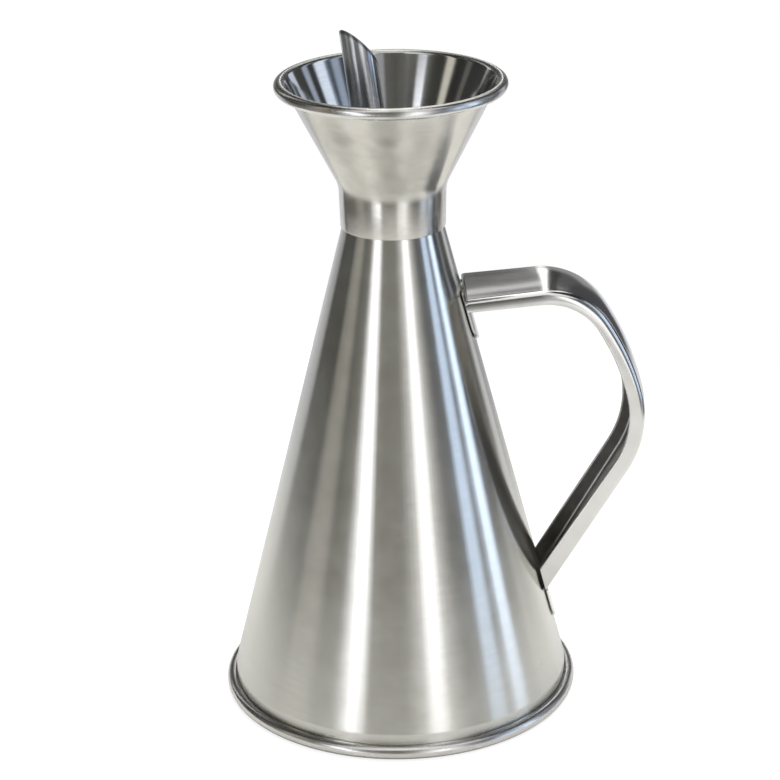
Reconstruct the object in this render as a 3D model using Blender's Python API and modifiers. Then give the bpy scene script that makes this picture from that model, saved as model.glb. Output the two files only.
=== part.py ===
"""Conical olive oil can in sheet steel, with a lift-off drip head and a strap handle.

The can stands on Z = 0 and the origin is the middle of its footprint, handle included. The
handle lies in the XZ plane, towards +X. Every piece hangs on an empty on the can's own axis,
from which all places below are measured. All lengths are in metres.
"""

import math

import bmesh
import bpy
from mathutils import Matrix, Vector

# Sheet and fits
SHEET = 0.0007               # wall of the can and of its head
HANDLE_SHEET = 0.0010
SPOUT_WALL = 0.0008
CLEARANCE = 0.0003           # gap between faces that touch
OVERRUN = 0.0020             # how far every cutter runs past what it cuts

# Can: an upright foot band, a straight cone, a ledge and a plain neck
FOOT_RADIUS = 0.0629         # outside of the foot band
FOOT_BAND_TOP = 0.0087       # height at which the cone starts
SHOULDER_HEIGHT = 0.1830     # height of the ledge that the collar stands on
SHOULDER_RADIUS = 0.01835    # outside of the cone at the ledge
NECK_LENGTH = 0.0120         # neck above the ledge, inside the collar
FOOT_BEND = 0.0005           # inner radius of the bend into the foot flange

# Base: a recessed pan whose edge is rolled round the can's foot flange
BEAD_DIAMETER = 0.0050
BEAD_OVERHANG = 0.0037       # how far the bead stands out past the foot band
PAN_RISE = 0.0052            # recess under the can
PAN_CORNER = 0.0020
PAN_FOOT_CORNER = 0.0012

# Head: collar, flared cup and outward curled rim
COLLAR_WAIST_RADIUS = 0.01895   # outside of the collar at its lower edge
KINK_RADIUS = 0.0194            # outside, where the collar turns into the cup
KINK_HEIGHT = 0.0157            # kink above the collar's lower edge
RIM_RADIUS = 0.03935            # centre line of the rim bead
RIM_HEIGHT = 0.0517             # rim bead's centre above the collar's lower edge
RIM_BEAD_DIAMETER = 0.0042

# Drip plate in the throat, with a skirt that lands on the neck
PLATE_BEND = 0.0008
DRAIN_DIAMETER = 0.0050
DRAIN_OFFSET = 0.0105

# Spout: a plain tube through the plate, cut slantwise
SPOUT_DIAMETER = 0.0119
SPOUT_OFFSET = 0.0067        # from the can's axis, at the plate's top
SPOUT_REACH = 0.0612         # plate's top to the tip, along the tube
SPOUT_TAIL = 0.0060          # below the plate's top
SPOUT_LEAN = math.radians(9.1)
SPOUT_CUT = math.radians(55.3)   # from square across
HEAD_TURN = math.radians(42.3)   # the head as it was left on the round neck

# Handle: a channel pressed from strip, narrower and deeper towards its lower end
HANDLE_TOP_HEIGHT = 0.1593   # outer face of the strap where it meets the cone
TOP_WIDTH = 0.0340
LOW_WIDTH = 0.0200
TOP_DEPTH = 0.0046
LOW_DEPTH = 0.0077
STRAP_CORNER = 0.0020
STRAP_CROWN = 0.0009         # rise of the strap's outer face across its width
UPPER_ARM = 0.0275
KNUCKLE_RADIUS = 0.0284
GRIP_RADIUS = 0.1005
ELBOW_RADIUS = 0.0425
UPPER_ARM_PITCH = math.radians(5.2)
KNUCKLE_PITCH = math.radians(-58.0)
GRIP_PITCH = math.radians(-75.5)
LOWER_ARM_PITCH = math.radians(-121.0)

# Tongues: the strap's ends, bent on down the cone and welded to it
TONGUE_WIDTH = 0.0140
UPPER_TONGUE = 0.0204
LOWER_TONGUE = 0.0130
TONGUE_END_RADIUS = 0.0065

# Mesh counts
TURN_STEPS = 48
TUBE_STEPS = 28
BEAD_STEPS = 10
CORNER_STEPS = 3
CROWN_STEPS = 4
ARM_STEPS = 3
KNUCKLE_STEPS = 10
GRIP_STEPS = 5
ELBOW_STEPS = 9

STEEL = (0.62, 0.61, 0.585, 1.0)
POLISHED_STEEL = (0.70, 0.69, 0.67, 1.0)
MERGE = 0.00001

# Sizes that follow from the ones above
cone_slope = (FOOT_RADIUS - SHOULDER_RADIUS) / (SHOULDER_HEIGHT - FOOT_BAND_TOP)
cone_lean = math.atan(cone_slope)
collar_foot = SHOULDER_HEIGHT + CLEARANCE
collar_bore = COLLAR_WAIST_RADIUS - SHEET
neck_radius = collar_bore - CLEARANCE
neck_top = SHOULDER_HEIGHT + NECK_LENGTH
bead_centre = FOOT_RADIUS + BEAD_OVERHANG - BEAD_DIAMETER / 2


def cone_radius(height):
    """Outside radius of the can's cone at a height."""
    return FOOT_RADIUS - (height - FOOT_BAND_TOP) * cone_slope


def clear_scene():
    for obj in list(bpy.data.objects):
        bpy.data.objects.remove(obj, do_unlink=True)


def new_collection(name):
    collection = bpy.data.collections.new(name)
    bpy.context.scene.collection.children.link(collection)
    return collection


def steel(name, colour, roughness):
    material = bpy.data.materials.new(name)
    material.use_nodes = True
    shader = material.node_tree.nodes["Principled BSDF"]
    shader.inputs["Base Color"].default_value = colour
    shader.inputs["Metallic"].default_value = 1.0
    shader.inputs["Roughness"].default_value = roughness
    material.diffuse_color = colour
    return material


def place(name, mesh, collection, parent):
    obj = bpy.data.objects.new(name, mesh)
    obj.parent = parent
    collection.objects.link(obj)
    return obj


def finish(obj, colour, roughness):
    """Give a piece its own steel and smooth shading."""
    obj.data.materials.append(steel(obj.name + "_steel", colour, roughness))
    obj.data.shade_smooth()
    return obj


def hide(obj):
    obj.hide_render = True
    obj.display_type = "WIRE"
    return obj


def arc(centre, radius, start, sweep, steps):
    """Points round a centre in the (r, z) plane, both ends included."""
    turns = [start + sweep * step / steps for step in range(steps + 1)]
    return [(centre[0] + radius * math.cos(turn), centre[1] + radius * math.sin(turn)) for turn in turns]


def turned(name, profile, collection, parent, steps=TURN_STEPS, closed=False):
    """Turn an (r, z) profile round Z."""
    mesh = bpy.data.meshes.new(name)
    edges = [(index, index + 1) for index in range(len(profile) - 1)]
    if closed:
        edges.append((len(profile) - 1, 0))
    mesh.from_pydata([(radius, 0.0, height) for radius, height in profile], edges, [])
    obj = place(name, mesh, collection, parent)
    screw = obj.modifiers.new("turn", "SCREW")
    screw.axis = "Z"
    screw.angle = 2 * math.pi
    screw.steps = steps
    screw.render_steps = steps
    screw.use_merge_vertices = True
    screw.merge_threshold = MERGE
    screw.use_smooth_shade = True
    return obj


def thicken(obj, thickness):
    """Add sheet behind an open surface's face."""
    solidify = obj.modifiers.new("sheet", "SOLIDIFY")
    solidify.thickness = thickness
    solidify.offset = -1.0
    solidify.use_even_offset = True


def combine(obj, other, operation):
    boolean = obj.modifiers.new(other.name, "BOOLEAN")
    boolean.operation = operation
    boolean.solver = "EXACT"
    boolean.object = other


def box(name, low, high, collection, parent):
    """A closed box between two corners."""
    size = Vector(high) - Vector(low)
    middle = (Vector(high) + Vector(low)) / 2
    mesh = bpy.data.meshes.new(name)
    bm = bmesh.new()
    bmesh.ops.create_cube(bm, size=1.0)
    bmesh.ops.scale(bm, vec=size, verts=bm.verts)
    bmesh.ops.translate(bm, vec=middle, verts=bm.verts)
    bm.to_mesh(mesh)
    bm.free()
    return place(name, mesh, collection, parent)


def cylinder(name, radius, low, high, collection, parent):
    """A closed cylinder on its own Z axis between two heights."""
    mesh = bpy.data.meshes.new(name)
    bm = bmesh.new()
    bmesh.ops.create_cone(bm, cap_ends=True, segments=TUBE_STEPS, radius1=radius, radius2=radius,
                          depth=high - low)
    bmesh.ops.translate(bm, vec=Vector((0.0, 0.0, (high + low) / 2)), verts=bm.verts)
    bm.to_mesh(mesh)
    bm.free()
    return place(name, mesh, collection, parent)


def plate(name, outline, thickness, collection, parent):
    """A flat closed outline in local XY, thickened equally to both sides."""
    curve = bpy.data.curves.new(name, "CURVE")
    curve.dimensions = "2D"
    curve.fill_mode = "BOTH"
    curve.extrude = thickness / 2
    spline = curve.splines.new("POLY")
    spline.points.add(len(outline) - 1)
    for point, (across, along) in zip(spline.points, outline):
        point.co = (across, along, 0.0, 1.0)
    spline.use_cyclic_u = True
    drawn = bpy.data.objects.new(name + "_curve", curve)
    mesh = bpy.data.meshes.new_from_object(drawn)
    mesh.name = name
    bpy.data.objects.remove(drawn, do_unlink=True)
    bm = bmesh.new()
    bm.from_mesh(mesh)
    bmesh.ops.remove_doubles(bm, verts=bm.verts, dist=MERGE)
    bmesh.ops.recalc_face_normals(bm, faces=bm.faces)
    bm.to_mesh(mesh)
    bm.free()
    return place(name, mesh, collection, parent)


def cone_body(parts, axis):
    """The can's wall: neck, ledge, cone, foot band and the flange that the base grips."""
    flange_top = SHEET + CLEARANCE + SHEET
    profile = [
        (neck_radius, neck_top),
        (neck_radius, SHOULDER_HEIGHT),
        (SHOULDER_RADIUS, SHOULDER_HEIGHT),
        (FOOT_RADIUS, FOOT_BAND_TOP),
    ]
    bend = (FOOT_RADIUS + FOOT_BEND, flange_top + FOOT_BEND)
    profile += arc(bend, FOOT_BEND, math.pi, math.pi / 2, CORNER_STEPS)
    profile.append((bead_centre, flange_top))
    obj = turned("cone_body", profile, parts, axis)
    thicken(obj, SHEET)
    return finish(obj, STEEL, 0.32)


def base_pan(parts, axis):
    """Recessed base, its edge rolled out and over the can's foot flange."""
    bead_radius = BEAD_DIAMETER / 2
    centre = (bead_centre, bead_radius)
    lip = math.acos((FOOT_RADIUS + CLEARANCE - bead_centre) / bead_radius)
    wall = FOOT_RADIUS - 2 * SHEET - CLEARANCE
    profile = arc(centre, bead_radius, lip, -lip - math.pi / 2, BEAD_STEPS)
    foot = (wall + PAN_FOOT_CORNER, PAN_FOOT_CORNER)
    profile += arc(foot, PAN_FOOT_CORNER, -math.pi / 2, -math.pi / 2, CORNER_STEPS)
    corner = (wall - PAN_CORNER, PAN_RISE - PAN_CORNER)
    profile += arc(corner, PAN_CORNER, 0.0, math.pi / 2, CORNER_STEPS)
    profile.append((0.0, PAN_RISE))
    obj = turned("base_pan", profile, parts, axis)
    thicken(obj, SHEET)
    return finish(obj, POLISHED_STEEL, 0.16)


def can_axis(parts):
    """Empty on the can's axis, placed so that the origin is the middle of the footprint."""
    handle_reach = max(spot.x for spot, heading in strap_path())
    axis = place("can_axis", None, parts, None)
    axis.empty_display_size = FOOT_RADIUS
    axis.location.x = (FOOT_RADIUS + BEAD_OVERHANG - handle_reach) / 2
    return axis


def head_axis(parts, can):
    """Empty on the can's axis that carries the pieces of the head."""
    axis = place("head_axis", None, parts, can)
    axis.empty_display_size = COLLAR_WAIST_RADIUS
    axis.location.z = collar_foot
    axis.rotation_euler.z = HEAD_TURN
    return axis


def funnel_cup(parts, axis):
    """Collar, flare and outward curl, followed along their inner face from below."""
    bead_radius = RIM_BEAD_DIAMETER / 2
    kink = Vector((KINK_RADIUS - SHEET, KINK_HEIGHT))
    centre = Vector((RIM_RADIUS, RIM_HEIGHT))
    reach = (centre - kink).length
    flare = math.atan2(centre.x - kink.x, centre.y - kink.y) - math.asin(bead_radius / reach)
    # The curl stops where its end would touch the flare again
    stop = math.acos((bead_radius - SHEET - CLEARANCE) / bead_radius)
    start = math.pi - flare
    profile = [(collar_bore, 0.0), tuple(kink)]
    profile += arc(tuple(centre), bead_radius, start, stop - 2 * math.pi, BEAD_STEPS)
    obj = turned("funnel_cup", profile, parts, axis)
    thicken(obj, SHEET)
    return finish(obj, STEEL, 0.30)


def drip_plate(parts, cutters, axis):
    """Plate across the throat, with a skirt, a hole for the spout and a drain."""
    skirt_foot = neck_top + CLEARANCE - collar_foot
    taper = (KINK_RADIUS - COLLAR_WAIST_RADIUS) / KINK_HEIGHT
    radius = collar_bore + skirt_foot * taper - CLEARANCE
    top = KINK_HEIGHT
    bend = (radius - PLATE_BEND - SHEET, top - PLATE_BEND - SHEET)
    profile = [(0.0, top)]
    profile += arc(bend, PLATE_BEND + SHEET, math.pi / 2, -math.pi / 2, CORNER_STEPS)
    profile.append((radius, skirt_foot))
    obj = turned("drip_plate", profile, parts, axis)
    thicken(obj, SHEET)
    hole = cylinder("spout_hole", SPOUT_DIAMETER / 2 + CLEARANCE, -SPOUT_TAIL, SPOUT_TAIL, cutters, axis)
    hole.location = (-SPOUT_OFFSET, 0.0, KINK_HEIGHT)
    hole.rotation_euler = (0.0, -SPOUT_LEAN, 0.0)
    drain = cylinder("drain_hole", DRAIN_DIAMETER / 2, -OVERRUN, OVERRUN, cutters, axis)
    drain.location = (DRAIN_OFFSET, 0.0, KINK_HEIGHT)
    for cutter in (hide(hole), hide(drain)):
        combine(obj, cutter, "DIFFERENCE")
    return finish(obj, STEEL, 0.30)


def spout_tube(parts, cutters, axis):
    """Straight tube that leans away from the handle, its mouth cut to a point."""
    outer = SPOUT_DIAMETER / 2
    inner = outer - SPOUT_WALL
    profile = [(outer, SPOUT_REACH), (outer, -SPOUT_TAIL), (inner, -SPOUT_TAIL), (inner, SPOUT_REACH)]
    obj = turned("spout_tube", profile, parts, axis, TUBE_STEPS, closed=True)
    obj.location = (-SPOUT_OFFSET, 0.0, KINK_HEIGHT)
    obj.rotation_euler = (0.0, -SPOUT_LEAN, 0.0)
    depth = SPOUT_DIAMETER * math.tan(SPOUT_CUT) + OVERRUN
    slice_length = SPOUT_DIAMETER / math.cos(SPOUT_CUT) + OVERRUN
    block = box("spout_cut", (-OVERRUN, -SPOUT_DIAMETER, 0.0),
                (slice_length, SPOUT_DIAMETER, depth), cutters, obj)
    block.location = (-outer, 0.0, SPOUT_REACH)
    block.rotation_euler = (0.0, SPOUT_CUT, 0.0)
    combine(obj, hide(block), "DIFFERENCE")
    return finish(obj, POLISHED_STEEL, 0.14)


def strap_path():
    """Points and headings along the middle of the strap's outer face, in the XZ plane."""
    heading = UPPER_ARM_PITCH
    spot = Vector((cone_radius(HANDLE_TOP_HEIGHT), HANDLE_TOP_HEIGHT))
    path = []

    def run(length, steps):
        nonlocal spot
        for _ in range(steps):
            path.append((spot.copy(), heading))
            spot += Vector((math.cos(heading), math.sin(heading))) * length / steps

    def bend(radius, pitch, steps):
        nonlocal spot, heading
        turn = (pitch - heading) / steps
        chord = 2 * radius * math.sin(abs(turn) / 2)
        for _ in range(steps):
            path.append((spot.copy(), heading))
            middle = heading + turn / 2
            spot += Vector((math.cos(middle), math.sin(middle))) * chord
            heading += turn

    run(UPPER_ARM, ARM_STEPS)
    bend(KNUCKLE_RADIUS, KNUCKLE_PITCH, KNUCKLE_STEPS)
    bend(GRIP_RADIUS, GRIP_PITCH, GRIP_STEPS)
    bend(ELBOW_RADIUS, LOWER_ARM_PITCH, ELBOW_STEPS)
    along = Vector((math.cos(heading), math.sin(heading)))
    inside = cone_radius(spot.y) - spot.x
    lower_arm = inside / (along.x + along.y * cone_slope)
    run(lower_arm, 2 * ARM_STEPS)
    path.append((spot.copy(), heading))
    return path


def strap_section(width, depth):
    """Channel section as (across, inwards) points, from one free edge to the other."""
    half = width / 2
    corner = arc((STRAP_CORNER - half, STRAP_CROWN + STRAP_CORNER), STRAP_CORNER,
                 math.pi, math.pi / 2, CORNER_STEPS)
    side = [(-half, depth)] + corner
    crown = []
    flat = half - STRAP_CORNER
    for step in range(1, CROWN_STEPS):
        across = flat * (2 * step / CROWN_STEPS - 1)
        crown.append((across, STRAP_CROWN * (across / flat) ** 2))
    mirrored = [(-across, inwards) for across, inwards in reversed(side)]
    return side + crown + mirrored


def strap_mesh():
    """Loft the channel along its path while it narrows and deepens."""
    path = strap_path()
    # Both ends run on into the cone, and the end cutter trims them
    first, heading = path[0]
    lead = Vector((math.cos(heading), math.sin(heading))) * TOP_DEPTH
    path.insert(0, (first - lead, heading))
    last, heading = path[-1]
    path.append((last + Vector((math.cos(heading), math.sin(heading))) * LOW_WIDTH / 2, heading))
    spans = [(after[0] - before[0]).length for before, after in zip(path, path[1:])]
    travelled = [sum(spans[:index]) for index in range(len(path))]
    bm = bmesh.new()
    rows = []
    for (spot, heading), distance in zip(path, travelled):
        share = distance / travelled[-1]
        width = TOP_WIDTH + (LOW_WIDTH - TOP_WIDTH) * share
        depth = TOP_DEPTH + (LOW_DEPTH - TOP_DEPTH) * share
        inward = Vector((math.sin(heading), -math.cos(heading)))
        row = []
        for across, inwards in strap_section(width, depth):
            place_in_plane = spot + inward * inwards
            row.append(bm.verts.new((place_in_plane.x, across, place_in_plane.y)))
        rows.append(row)
    for before, after in zip(rows, rows[1:]):
        for near, far in zip(range(len(before) - 1), range(1, len(before))):
            bm.faces.new((before[near], after[near], after[far], before[far]))
    mesh = bpy.data.meshes.new("handle")
    bm.to_mesh(mesh)
    bm.free()
    return mesh


def tongue(name, spot, heading, length, cutters, axis):
    """Flat round-ended plate down the cone, from where the strap's sheet meets its middle plane."""
    off_cone = Vector((math.cos(cone_lean), math.sin(cone_lean)))
    arm = Vector((math.cos(heading), math.sin(heading)))
    middle = Vector((math.sin(heading), -math.cos(heading))) * HANDLE_SHEET / 2
    standoff = CLEARANCE + HANDLE_SHEET / 2
    seat = spot + middle + arm * (standoff - middle.dot(off_cone)) / arm.dot(off_cone)
    half = TONGUE_WIDTH / 2
    round_end = arc((half - TONGUE_END_RADIUS, TONGUE_END_RADIUS - length), TONGUE_END_RADIUS,
                    -math.pi / 2, math.pi / 2, 2 * CORNER_STEPS)
    outline = round_end + [(half, 0.0)]
    outline += [(-across, along) for across, along in reversed(outline)]
    obj = plate(name, outline, HANDLE_SHEET, cutters, axis)
    obj.matrix_basis = (Matrix.Translation((seat.x, 0.0, seat.y))
                        @ Matrix.Rotation(math.pi / 2, 4, "Z")
                        @ Matrix.Rotation(math.pi / 2 - cone_lean, 4, "X"))
    return hide(obj)


def handle(parts, cutters, axis):
    """Pressed channel with a welded tongue at each end."""
    obj = place("handle", strap_mesh(), parts, axis)
    thicken(obj, HANDLE_SHEET)
    # The strap's ends are cut flat along the cone's own line, halfway into the tongues
    reach = HANDLE_TOP_HEIGHT + OVERRUN
    trim = box("handle_end_trim", (-2 * FOOT_RADIUS, -TOP_WIDTH, -reach),
               (CLEARANCE + HANDLE_SHEET / 2, TOP_WIDTH, reach), cutters, axis)
    trim.matrix_basis = (Matrix.Translation((FOOT_RADIUS, 0.0, FOOT_BAND_TOP))
                         @ Matrix.Rotation(-cone_lean, 4, "Y"))
    combine(obj, hide(trim), "DIFFERENCE")
    path = strap_path()
    ends = (("upper_tongue", path[0], UPPER_TONGUE), ("lower_tongue", path[-1], LOWER_TONGUE))
    for name, (spot, heading), length in ends:
        combine(obj, tongue(name, spot, heading, length, cutters, axis), "UNION")
    return finish(obj, POLISHED_STEEL, 0.20)


def build():
    clear_scene()
    parts = new_collection("olive_oil_can")
    cutters = new_collection("cutters")
    can = can_axis(parts)
    cone_body(parts, can)
    base_pan(parts, can)
    handle(parts, cutters, can)
    head = head_axis(parts, can)
    funnel_cup(parts, head)
    drip_plate(parts, cutters, head)
    spout_tube(parts, cutters, head)
    for obj in parts.objects:
        if obj.type == "MESH":
            obj.data.set_sharp_from_angle(angle=math.radians(40.0))
    bpy.context.view_layer.update()


build()
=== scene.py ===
"""Looks of the conical olive oil can: fine turned sheet, pressed handle, steel and a studio.

Everything is in metres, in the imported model's frame: the can stands on Z = 0 and its handle points
to +X. Lengths repeat those of the solids.
"""

import math

import bmesh
import bpy
from mathutils import Matrix, Vector


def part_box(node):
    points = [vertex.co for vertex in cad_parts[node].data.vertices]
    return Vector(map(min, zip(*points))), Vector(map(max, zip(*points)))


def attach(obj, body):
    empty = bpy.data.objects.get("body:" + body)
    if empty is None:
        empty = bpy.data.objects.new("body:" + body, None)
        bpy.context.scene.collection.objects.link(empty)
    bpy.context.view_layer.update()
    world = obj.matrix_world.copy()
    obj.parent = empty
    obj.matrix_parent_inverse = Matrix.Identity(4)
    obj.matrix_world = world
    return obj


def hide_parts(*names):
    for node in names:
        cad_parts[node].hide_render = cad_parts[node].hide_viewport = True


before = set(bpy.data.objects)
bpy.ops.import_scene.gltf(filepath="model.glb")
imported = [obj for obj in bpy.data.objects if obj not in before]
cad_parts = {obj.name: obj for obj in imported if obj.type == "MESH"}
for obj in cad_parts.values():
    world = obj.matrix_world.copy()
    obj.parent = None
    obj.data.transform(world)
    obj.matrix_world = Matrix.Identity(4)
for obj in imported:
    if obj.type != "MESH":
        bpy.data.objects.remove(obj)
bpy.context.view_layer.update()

# Sizes of the solids
SHEET = 0.0007
HANDLE_SHEET = 0.0010
CLEARANCE = 0.0003
FOOT_RADIUS = 0.0629
FOOT_BAND_TOP = 0.0087
SHOULDER_HEIGHT = 0.1830
SHOULDER_RADIUS = 0.01835
NECK_LENGTH = 0.0120
BEAD_DIAMETER = 0.0050
BEAD_OVERHANG = 0.0037
PAN_RISE = 0.0052
COLLAR_WAIST_RADIUS = 0.01895
KINK_RADIUS = 0.0194
KINK_HEIGHT = 0.0157
RIM_RADIUS = 0.03935
RIM_HEIGHT = 0.0517
RIM_BEAD_DIAMETER = 0.0042
PLATE_BEND = 0.0008
DRAIN_DIAMETER = 0.0050
DRAIN_OFFSET = 0.0105
SPOUT_DIAMETER = 0.0119
SPOUT_OFFSET = 0.0067
SPOUT_REACH = 0.0612
SPOUT_TAIL = 0.0060
SPOUT_LEAN = math.radians(9.1)
SPOUT_CUT = math.radians(55.3)
HEAD_TURN = math.radians(42.3)
HANDLE_TOP_HEIGHT = 0.1593
TOP_WIDTH = 0.0340
LOW_WIDTH = 0.0200
TOP_DEPTH = 0.0046
LOW_DEPTH = 0.0077
STRAP_CORNER = 0.0030
STRAP_CROWN = 0.0009
UPPER_ARM = 0.0275
KNUCKLE_RADIUS = 0.0284
GRIP_RADIUS = 0.1005
ELBOW_RADIUS = 0.0425
UPPER_ARM_PITCH = math.radians(5.2)
KNUCKLE_PITCH = math.radians(-58.0)
GRIP_PITCH = math.radians(-75.5)
LOWER_ARM_PITCH = math.radians(-121.0)
TONGUE_WIDTH = 0.0140
UPPER_TONGUE = 0.0204
LOWER_TONGUE = 0.0130
TONGUE_END_RADIUS = 0.0065

# Sizes of the finer shapes
LEDGE_FOOT_BEND = 0.00015    # from the neck into its ledge
LEDGE_EDGE_BEND = 0.00018    # from the ledge into the cone
CONE_BEND = 0.0030           # soft bend from the cone into the foot band
FLANGE_BEND = 0.0005         # from the foot band into its flange, on the outer face
FLANGE_BACK_BEND = 0.0010    # the same on the inner face
PAN_FOOT_BEND = 0.0012       # from the bead up into the recess
PAN_TOP_BEND = 0.0020        # from there into the flat pan
KINK_BEND = 0.0120           # soft turn from the collar into the flare
PLATE_RING_RADIUS = 0.0145   # inside it the plate is flat and has its holes
SOLDER_RUN = 0.0010          # up the tube and out over the plate
SOLDER_IN_TUBE = 0.0002
SOLDER_IN_PLATE = 0.0001
SUPPORT = 0.0004             # loops beside a bend that keep the wall beyond it straight
END_GAP = 0.0001             # handle's cut ends to the cone
END_BEND = 0.0015            # where the handle's top turns down into its tongue
END_BEND_REACH = 0.6         # part of the channel's depth that this turn reaches
GRIP_CORNER = 0.0022         # the pressed corners are tighter round the grip
GRIP_START = 0.32            # parts of the strip's length: where the corners begin to tighten,
GRIP_EASE = 0.14             # and how long that takes
TONGUE_GAP = 0.0003
TONGUE_SOFT = 0.00025        # rounding of the tongues' edges
UPPER_TONGUE_DROP = 0.0008   # its top below the strip's middle
UPPER_TONGUE_SHEET = HANDLE_SHEET * 0.9
LOWER_TONGUE_SHEET = HANDLE_SHEET * 0.6
WELD = 0.0000005             # points this close become one

# Steps of the finer shapes
TURN_STEPS = 180
TUBE_STEPS = 72
TUBE_PARTS = 6
ARC_STEPS = 6
BEAD_STEPS = 22
CURL_STEPS = 30
PLATE_BEND_STEPS = 8
HOLE_STEPS = 48
SOLDER_STEPS = 8
CORNER_STEPS = 10
CROWN_STEPS = 12
TONGUE_STEPS = 8             # to each side of its middle, and down its straight part
TONGUE_END_STEPS = 10
EDGE_POINTS = 5              # round a sheet's edge, between its two faces

# Handle's sections beside its cut ends, as distances from the cone
END_STEPS = (0.0, 0.0002, 0.00045, 0.00075, 0.0011, 0.0015, 0.0022, 0.0035, 0.0055, 0.008,
             0.011, 0.015, 0.0195, 0.024, 0.029, 0.034, 0.040, 0.046, 0.052, 0.058)
# Handle's bends, as radius, pitch at the end and steps
STRAP_BENDS = ((KNUCKLE_RADIUS, KNUCKLE_PITCH, 26), (GRIP_RADIUS, GRIP_PITCH, 10),
               (ELBOW_RADIUS, LOWER_ARM_PITCH, 20))
# Broken edge of the spout's mouth from the outer wall to the inner one, as inset and drop in
# millimetres; the last inset is the wall's thickness
SPOUT_LIP = ((0.0, 0.45), (0.04, 0.20), (0.15, 0.04), (0.40, 0.0), (0.65, 0.04), (0.76, 0.20),
             (0.80, 0.45))

cone_slope = (FOOT_RADIUS - SHOULDER_RADIUS) / (SHOULDER_HEIGHT - FOOT_BAND_TOP)
cone_lean = math.atan(cone_slope)
off_cone = Vector((math.cos(cone_lean), math.sin(cone_lean)))
collar_foot = SHOULDER_HEIGHT + CLEARANCE
collar_bore = COLLAR_WAIST_RADIUS - SHEET
neck_radius = collar_bore - CLEARANCE
bead_centre = FOOT_RADIUS + BEAD_OVERHANG - BEAD_DIAMETER / 2
can_low, can_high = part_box("cone_body")
axis_x = (can_low.x + can_high.x) / 2
head_place = Matrix.Translation((axis_x, 0.0, collar_foot)) @ Matrix.Rotation(HEAD_TURN, 4, "Z")
tube_place = head_place @ (Matrix.Translation((-SPOUT_OFFSET, 0.0, KINK_HEIGHT))
                           @ Matrix.Rotation(-SPOUT_LEAN, 4, "Y"))


# Node helpers

class Graph:
    """Short calls for a material's or world's nodes."""

    def __init__(self, owner):
        owner.use_nodes = True
        self.tree = owner.node_tree
        self.nodes = self.tree.nodes

    def put(self, socket, value):
        if isinstance(value, bpy.types.NodeSocket):
            self.tree.links.new(value, socket)
        else:
            socket.default_value = value

    def new(self, kind, **inputs):
        node = self.nodes.new(kind)
        for name, value in inputs.items():
            self.put(node.inputs[name], value)
        return node

    def math(self, operation, first, second=0.0, third=0.0):
        node = self.nodes.new("ShaderNodeMath")
        node.operation = operation
        for socket, value in zip(node.inputs, (first, second, third)):
            self.put(socket, value)
        return node.outputs[0]

    def vector(self, x, y, z):
        node = self.nodes.new("ShaderNodeCombineXYZ")
        for socket, value in zip(node.inputs, (x, y, z)):
            self.put(socket, value)
        return node.outputs[0]

    def split(self, vector):
        node = self.nodes.new("ShaderNodeSeparateXYZ")
        self.put(node.inputs[0], vector)
        return node.outputs[0], node.outputs[1], node.outputs[2]

    def noise(self, vector, scale=1.0, detail=3.0, roughness=0.5):
        node = self.nodes.new("ShaderNodeTexNoise")
        self.put(node.inputs["Vector"], vector)
        node.inputs["Scale"].default_value = scale
        node.inputs["Detail"].default_value = detail
        node.inputs["Roughness"].default_value = roughness
        return node.outputs["Fac"]

    def span(self, value, low, high, to_low=0.0, to_high=1.0, smooth=False):
        """Map a range to another one, clamped."""
        node = self.nodes.new("ShaderNodeMapRange")
        if smooth:
            node.interpolation_type = "SMOOTHSTEP"
        for socket, entry in zip(node.inputs, (value, low, high, to_low, to_high)):
            self.put(socket, entry)
        return node.outputs[0]

    def swing(self, noise, to_low, to_high):
        """Map the part of its range that a noise mostly keeps to."""
        return self.span(noise, 0.3, 0.7, to_low, to_high)

    def vmath(self, operation, first, second=None):
        """Vector operation; the two that give a number have it at the second output."""
        node = self.nodes.new("ShaderNodeVectorMath")
        node.operation = operation
        self.put(node.inputs[0], first)
        if second is not None:
            self.put(node.inputs[1], second)
        return node.outputs[1 if operation in ("DOT_PRODUCT", "LENGTH") else 0]

    def scaled(self, vector, factor):
        node = self.nodes.new("ShaderNodeVectorMath")
        node.operation = "SCALE"
        self.put(node.inputs[0], vector)
        self.put(node.inputs["Scale"], factor)
        return node.outputs[0]

    def mix(self, factor, first, second):
        """Mix of two colours, which this node takes at its sockets 6 and 7."""
        node = self.nodes.new("ShaderNodeMix")
        node.data_type = "RGBA"
        self.put(node.inputs[0], factor)
        self.put(node.inputs[6], first)
        self.put(node.inputs[7], second)
        return node.outputs[2]

    def camera_ray(self):
        return self.nodes.new("ShaderNodeLightPath").outputs["Is Camera Ray"]


# Steel finishes

# Brushing round a line, as noise scales round it and across the brushing
FINE_ROUND = (6.0, 1500.0)
COARSE_ROUND = (3.0, 520.0)
# Brushing along the handle's strip
FINE_STRIP = (60.0, 2600.0, 60.0)
COARSE_STRIP = (30.0, 500.0, 30.0)
# Noise scales
CLOUD_SCALE = 34.0
PATCH_SCALE = 110.0
SPECK_SCALE = 520.0
STAIN_SCALE = 62.0
# Shares of clouds and patches in the tone, and the parts of the noise where the shade changes
CLOUD_SHARE, PATCH_SHARE = 0.6, 0.4
TONE_SPAN = (0.36, 0.64)
STAIN_SPAN = (0.56, 0.68)
# Shades of the metal's own colour; the spots' shade is also painted shade on the rim's bead and up
# the flare
DARK_PATCH = (1.0, 0.99, 0.965)
STAIN_SHADE = (0.72, 0.72, 0.72)
SPOT_AND_PAINTED_SHADE = (0.58, 0.60, 0.57)
CUT_DARK_COLOUR = (0.13, 0.13, 0.135, 1.0)
# Darker band beside the cut: full at the first depth from the cut, gone at the second
CUT_DARK_BAND = (-0.0006, -0.0013)
CUT_DARK_STRENGTH = 0.85
# A spot's even middle, its faded edge and how far its outline wanders, as parts of its reach
MARK_MIDDLE, MARK_EDGE, MARK_WANDER = 0.9, 1.8, 1.2
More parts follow.
